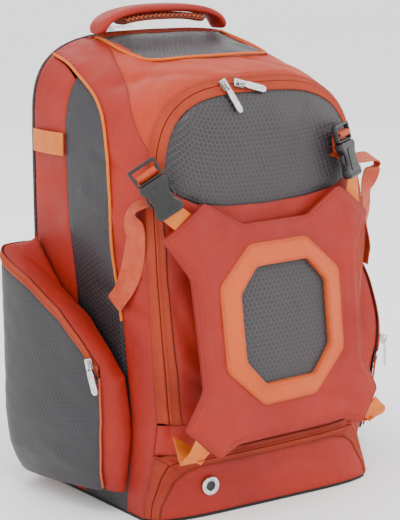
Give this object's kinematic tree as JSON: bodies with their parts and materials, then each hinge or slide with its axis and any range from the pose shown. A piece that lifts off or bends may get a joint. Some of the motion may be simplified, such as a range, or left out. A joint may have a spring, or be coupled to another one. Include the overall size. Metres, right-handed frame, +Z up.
{
  "type": "baseball bat backpack",
  "caption": "Sports backpack with a padded back, helmet flap on buckled straps, zipped side pockets and a shoe compartment below.",
  "frame": {"origin": "on the floor under the middle of the body, in the plane of the base", "axes": "+Z up, -Y is the front with the flap, +X is the right seen from the front"},
  "size_m": [0.4426, 0.3486, 0.513],
  "materials": {
    "red_cloth": "orange-red woven polyester, slight sheen",
    "charcoal_cloth": "charcoal polyester with a raised honeycomb weave",
    "dark_mesh": "dark padded spacer mesh",
    "bright_webbing": "bright orange webbing and piping",
    "orange_webbing": "orange ribbed webbing",
    "air_mesh": "orange air mesh with round holes",
    "light_cloth": "light orange cloth, raised",
    "zip_tape": "woven zip tape with a coil",
    "black_plastic": "black moulded plastic",
    "bright_metal": "nickel plated, smooth"
  },
  "bodies": {
    "bag": {"back_panel": "dark_mesh", "base_panel": "dark_mesh", "bat_loop_left": "bright_webbing", "bat_loop_right": "bright_webbing", "bottom_web_left": "bright_webbing", "bottom_web_right": "bright_webbing", "buckle_plug_left": "black_plastic", "buckle_plug_right": "black_plastic", "buckle_socket_left": "black_plastic", "buckle_socket_right": "black_plastic", "eyelet": "bright_metal", "flap_cover": "red_cloth", "flap_ring": "light_cloth", "flap_window": "charcoal_cloth", "front_a_slider": "bright_metal", "front_b_slider": "bright_metal", "front_lower_panel": "red_cloth", "front_upper_panel": "charcoal_cloth", "front_zip": "zip_tape", "gusset_left": "red_cloth", "gusset_right": "red_cloth", "handle_grip": "red_cloth", "handle_pad": "air_mesh", "hood": "red_cloth", "lower_band": "red_cloth", "piping_side_left": "bright_webbing", "piping_side_right": "bright_webbing", "piping_top": "bright_webbing", "pocket_face_left": "charcoal_cloth", "pocket_face_right": "charcoal_cloth", "pocket_gusset_left": "red_cloth", "pocket_gusset_right": "red_cloth", "pocket_left_slider": "bright_metal", "pocket_right_slider": "bright_metal", "pocket_zip_left": "zip_tape", "pocket_zip_right": "zip_tape", "shoe_door": "red_cloth", "shoe_zip": "zip_tape", "shoulder_strap_left": "red_cloth", "shoulder_strap_right": "red_cloth", "side_strip_left": "red_cloth", "side_strip_right": "red_cloth", "side_wedge_left": "charcoal_cloth", "side_wedge_right": "charcoal_cloth", "strap_left": "orange_webbing", "strap_right": "orange_webbing", "strap_web_left": "orange_webbing", "strap_web_right": "orange_webbing", "top_panel": "charcoal_cloth", "top_rear_band": "dark_mesh", "top_slider": "bright_metal", "top_web_left": "bright_webbing", "top_web_right": "bright_webbing", "top_zip": "zip_tape"},
    "front_a_pull": {"front_a_pull": "bright_metal"},
    "front_b_pull": {"front_b_pull": "bright_metal"},
    "pocket_left_pull": {"pocket_left_pull": "bright_metal"},
    "pocket_right_pull": {"pocket_right_pull": "bright_metal"},
    "top_pull": {"top_pull": "bright_metal"}
  },
  "joints": [
    {"name": "front_a_pull_swing", "type": "hinge", "parent": "bag", "child": "front_a_pull", "pos_m": [-0.04541, -0.10451, 0.44252], "axis": [-0.9273, -0.1351, -0.349], "range_deg": [0, 150]},
    {"name": "front_b_pull_swing", "type": "hinge", "parent": "bag", "child": "front_b_pull", "pos_m": [-0.02764, -0.10454, 0.44318], "axis": [-0.2941, -0.345, -0.8913], "range_deg": [0, 150]},
    {"name": "pocket_left_pull_swing", "type": "hinge", "parent": "bag", "child": "pocket_left_pull", "pos_m": [-0.18209, -0.05891, 0.16686], "axis": [-0.455, 0.8529, -0.2559], "range_deg": [0, 150]},
    {"name": "pocket_right_pull_swing", "type": "hinge", "parent": "bag", "child": "pocket_right_pull", "pos_m": [0.21271, -0.06911, 0.13027], "axis": [-0.5418, -0.8051, 0.2415], "range_deg": [0, 150]},
    {"name": "top_pull_swing", "type": "hinge", "parent": "bag", "child": "top_pull", "pos_m": [-0.06418, 0.07875, 0.48883], "axis": [0.0995, -0.995, 0], "range_deg": [0, 10]}
  ]
}
